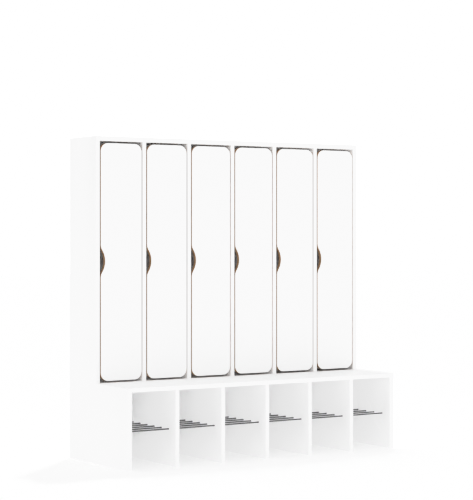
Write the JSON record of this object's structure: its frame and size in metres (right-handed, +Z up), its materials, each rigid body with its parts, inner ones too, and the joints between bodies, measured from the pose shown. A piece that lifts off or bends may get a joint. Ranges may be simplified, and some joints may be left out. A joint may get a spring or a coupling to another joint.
{
  "type": "locker cabinet",
  "caption": "Cloakroom locker cabinet: tall narrow hinged doors above a deeper bench whose open bays hold rods for shoes.",
  "frame": {"origin": "on the floor, under the centre of the bounding box", "axes": "+X to the right along the front, +Y towards the wall behind, +Z up; the doors face -Y"},
  "size_m": [1.389, 0.52, 1.4],
  "materials": {
    "white_board": "white melamine-faced board with white edging, satin",
    "door_board": "white lacquered front with the brown board showing at the cut edges",
    "back_sheet": "thin white-faced hardboard sheet",
    "rod_steel": "dark drawn steel rod",
    "rail_steel": "satin nickel",
    "hinge_steel": "nickel-plated steel"
  },
  "bodies": {
    "carcass": {"left_side_panel": "white_board", "right_side_panel": "white_board", "top_panel": "white_board", "bench_top": "white_board", "back_panel": "back_sheet", "locker_divider_1": "white_board", "bench_divider_1": "white_board", "locker_divider_2": "white_board", "bench_divider_2": "white_board", "locker_divider_3": "white_board", "bench_divider_3": "white_board", "locker_divider_4": "white_board", "bench_divider_4": "white_board", "locker_divider_5": "white_board", "bench_divider_5": "white_board", "hat_shelf_1": "white_board", "hat_shelf_2": "white_board", "hat_shelf_3": "white_board", "hat_shelf_4": "white_board", "hat_shelf_5": "white_board", "hat_shelf_6": "white_board", "shoe_rod_1": "rod_steel", "shoe_rod_2": "rod_steel", "shoe_rod_3": "rod_steel", "shoe_rod_4": "rod_steel", "shoe_rod_5": "rod_steel", "shoe_rod_6": "rod_steel", "shoe_rod_7": "rod_steel", "shoe_rod_8": "rod_steel", "coat_peg_rail": "rail_steel", "door_1_lower_hinge_arm": "hinge_steel", "door_1_upper_hinge_arm": "hinge_steel", "door_2_lower_hinge_arm": "hinge_steel", "door_2_upper_hinge_arm": "hinge_steel", "door_3_lower_hinge_arm": "hinge_steel", "door_3_upper_hinge_arm": "hinge_steel", "door_4_lower_hinge_arm": "hinge_steel", "door_4_upper_hinge_arm": "hinge_steel", "door_5_lower_hinge_arm": "hinge_steel", "door_5_upper_hinge_arm": "hinge_steel", "door_6_lower_hinge_arm": "hinge_steel", "door_6_upper_hinge_arm": "hinge_steel"},
    "door_1": {"door_1": "door_board", "door_1_lower_hinge_cup": "hinge_steel", "door_1_upper_hinge_cup": "hinge_steel"},
    "door_2": {"door_2": "door_board", "door_2_lower_hinge_cup": "hinge_steel", "door_2_upper_hinge_cup": "hinge_steel"},
    "door_3": {"door_3": "door_board", "door_3_lower_hinge_cup": "hinge_steel", "door_3_upper_hinge_cup": "hinge_steel"},
    "door_4": {"door_4": "door_board", "door_4_lower_hinge_cup": "hinge_steel", "door_4_upper_hinge_cup": "hinge_steel"},
    "door_5": {"door_5": "door_board", "door_5_lower_hinge_cup": "hinge_steel", "door_5_upper_hinge_cup": "hinge_steel"},
    "door_6": {"door_6": "door_board", "door_6_lower_hinge_cup": "hinge_steel", "door_6_upper_hinge_cup": "hinge_steel"}
  },
  "joints": [
    {"name": "door_1_hinge", "type": "hinge", "parent": "carcass", "child": "door_1", "pos_m": [-0.48, 0.03, 0.861], "axis": [0, 0, 1], "range_deg": [0, 105]},
    {"name": "door_2_hinge", "type": "hinge", "parent": "carcass", "child": "door_2", "pos_m": [-0.2515, 0.03, 0.861], "axis": [0, 0, 1], "range_deg": [0, 105]},
    {"name": "door_3_hinge", "type": "hinge", "parent": "carcass", "child": "door_3", "pos_m": [-0.023, 0.03, 0.861], "axis": [0, 0, 1], "range_deg": [0, 105]},
    {"name": "door_4_hinge", "type": "hinge", "parent": "carcass", "child": "door_4", "pos_m": [0.2055, 0.03, 0.861], "axis": [0, 0, 1], "range_deg": [0, 105]},
    {"name": "door_5_hinge", "type": "hinge", "parent": "carcass", "child": "door_5", "pos_m": [0.434, 0.03, 0.861], "axis": [0, 0, 1], "range_deg": [0, 105]},
    {"name": "door_6_hinge", "type": "hinge", "parent": "carcass", "child": "door_6", "pos_m": [0.6625, 0.03, 0.861], "axis": [0, 0, 1], "range_deg": [0, 105]}
  ]
}
